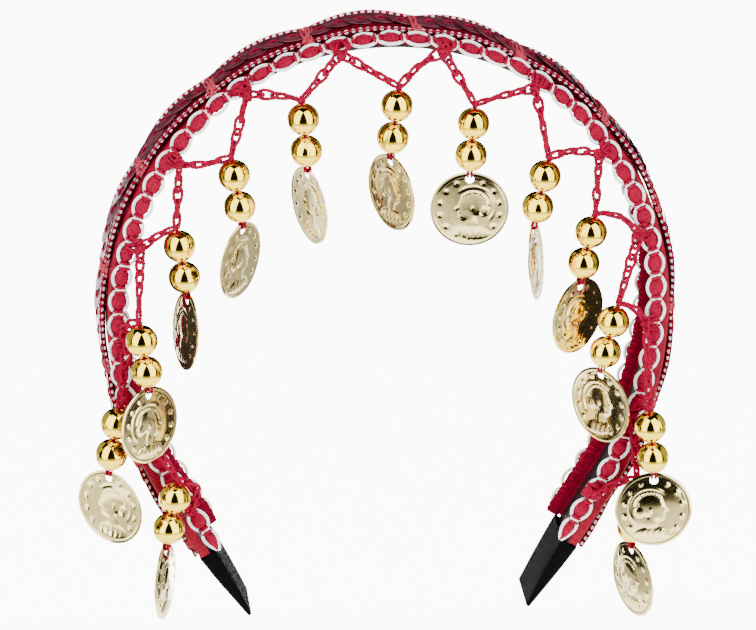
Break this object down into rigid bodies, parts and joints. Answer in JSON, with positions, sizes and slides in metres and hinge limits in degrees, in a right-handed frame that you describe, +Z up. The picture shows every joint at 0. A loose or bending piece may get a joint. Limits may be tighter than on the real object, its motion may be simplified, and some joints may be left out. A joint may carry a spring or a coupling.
{
  "type": "coin headpiece",
  "caption": "Sprung headband in red satin with sequinned scallops, gimp edges and a crochet edging that hangs gilt beads and thin stamped coins along its front.",
  "frame": {"origin": "crown_rest: the middle of the band's inner face at its top, where it rests on the crown of the head", "axes": "+Z up, +Y away from the face side, so the dangles hang on the -Y side, and +X to the right as seen from the dangles' side"},
  "size_m": [0.1503, 0.037, 0.1514],
  "materials": {
    "black_satin": "black polyester satin ribbon wrapped on plastic, soft sheen",
    "red_satin": "ruby polyester satin",
    "maroon_sequin": "flat dark maroon sequins shingled on red tape",
    "picot_cord": "red cord over-wrapped with silver-white metallic yarn",
    "gimp_yarn": "crimson yarn ovals between white and silver cord loops",
    "crochet_yarn": "crimson crochet chain",
    "gilt_bead": "gold-plated moulded acrylic, mirror bright",
    "stamped_coin": "pale gilt stamped sheet metal"
  },
  "bodies": {
    "band": {"band_core": "black_satin", "satin_cover": "red_satin", "scallop_strip": "maroon_sequin", "picot_cord_front": "picot_cord", "picot_cord_back": "picot_cord", "gimp_front": "gimp_yarn", "gimp_back": "gimp_yarn", "cap_left": "black_satin", "cap_right": "black_satin", "crochet_edging": "crochet_yarn", "bead_upper_01": "gilt_bead", "bead_lower_01": "gilt_bead", "bead_upper_02": "gilt_bead", "bead_lower_02": "gilt_bead", "bead_upper_03": "gilt_bead", "bead_lower_03": "gilt_bead", "bead_upper_04": "gilt_bead", "bead_lower_04": "gilt_bead", "bead_upper_05": "gilt_bead", "bead_lower_05": "gilt_bead", "bead_upper_06": "gilt_bead", "bead_lower_06": "gilt_bead", "bead_upper_07": "gilt_bead", "bead_lower_07": "gilt_bead", "bead_upper_08": "gilt_bead", "bead_lower_08": "gilt_bead", "bead_upper_09": "gilt_bead", "bead_lower_09": "gilt_bead", "bead_upper_10": "gilt_bead", "bead_lower_10": "gilt_bead", "bead_upper_11": "gilt_bead", "bead_lower_11": "gilt_bead", "bead_upper_12": "gilt_bead", "bead_lower_12": "gilt_bead", "bead_upper_13": "gilt_bead", "bead_lower_13": "gilt_bead"},
    "hanging_coin_01": {"coin_01": "stamped_coin"},
    "hanging_coin_02": {"coin_02": "stamped_coin"},
    "hanging_coin_03": {"coin_03": "stamped_coin"},
    "hanging_coin_04": {"coin_04": "stamped_coin"},
    "hanging_coin_05": {"coin_05": "stamped_coin"},
    "hanging_coin_06": {"coin_06": "stamped_coin"},
    "hanging_coin_07": {"coin_07": "stamped_coin"},
    "hanging_coin_08": {"coin_08": "stamped_coin"},
    "hanging_coin_09": {"coin_09": "stamped_coin"},
    "hanging_coin_10": {"coin_10": "stamped_coin"},
    "hanging_coin_11": {"coin_11": "stamped_coin"},
    "hanging_coin_12": {"coin_12": "stamped_coin"},
    "hanging_coin_13": {"coin_13": "stamped_coin"}
  },
  "joints": [
    {"name": "coin_01_swing", "type": "hinge", "parent": "band", "child": "hanging_coin_01", "pos_m": [-0.05548, -0.0162, -0.12463], "axis": [0.9511, -0.309, 0], "range_deg": [-18, 14]},
    {"name": "coin_02_swing", "type": "hinge", "parent": "band", "child": "hanging_coin_02", "pos_m": [-0.06918, -0.0162, -0.10487], "axis": [-0.6293, -0.7771, 0], "range_deg": [-20, 13]},
    {"name": "coin_03_swing", "type": "hinge", "parent": "band", "child": "hanging_coin_03", "pos_m": [-0.05924, -0.0188, -0.08293], "axis": [0.6691, -0.7431, 0], "range_deg": [-14, 20]},
    {"name": "coin_04_swing", "type": "hinge", "parent": "band", "child": "hanging_coin_04", "pos_m": [-0.04954, -0.013, -0.06103], "axis": [-0.9659, -0.2588, 0], "range_deg": [-16, 19]},
    {"name": "coin_05_swing", "type": "hinge", "parent": "band", "child": "hanging_coin_05", "pos_m": [-0.03603, -0.014, -0.0432], "axis": [0.829, -0.5592, 0], "range_deg": [-14, 20]},
    {"name": "coin_06_swing", "type": "hinge", "parent": "band", "child": "hanging_coin_06", "pos_m": [-0.02026, -0.0152, -0.0292], "axis": [-0.9272, -0.3746, 0], "range_deg": [-17, 20]},
    {"name": "coin_07_swing", "type": "hinge", "parent": "band", "child": "hanging_coin_07", "pos_m": [-0.00026, -0.0154, -0.02636], "axis": [-0.866, -0.5, 0], "range_deg": [-20, 16]},
    {"name": "coin_08_swing", "type": "hinge", "parent": "band", "child": "hanging_coin_08", "pos_m": [0.01887, -0.0152, -0.03142], "axis": [-0.0698, -0.9976, 0], "range_deg": [-20, 17]},
    {"name": "coin_09_swing", "type": "hinge", "parent": "band", "child": "hanging_coin_09", "pos_m": [0.03472, -0.014, -0.04529], "axis": [0.9613, -0.2756, 0], "range_deg": [-18, 13]},
    {"name": "coin_10_swing", "type": "hinge", "parent": "band", "child": "hanging_coin_10", "pos_m": [0.04621, -0.013, -0.06019], "axis": [0.6947, -0.7193, 0], "range_deg": [-20, 11]},
    {"name": "coin_11_swing", "type": "hinge", "parent": "band", "child": "hanging_coin_11", "pos_m": [0.05161, -0.013, -0.0832], "axis": [-0.766, -0.6428, 0], "range_deg": [-20, 10]},
    {"name": "coin_12_swing", "type": "hinge", "parent": "band", "child": "hanging_coin_12", "pos_m": [0.06434, -0.018, -0.1093], "axis": [-0.0523, -0.9986, 0], "range_deg": [-16, 20]},
    {"name": "coin_13_swing", "type": "hinge", "parent": "band", "child": "hanging_coin_13", "pos_m": [0.05967, -0.013, -0.12932], "axis": [-0.9135, -0.4067, 0], "range_deg": [-20, 18]}
  ]
}
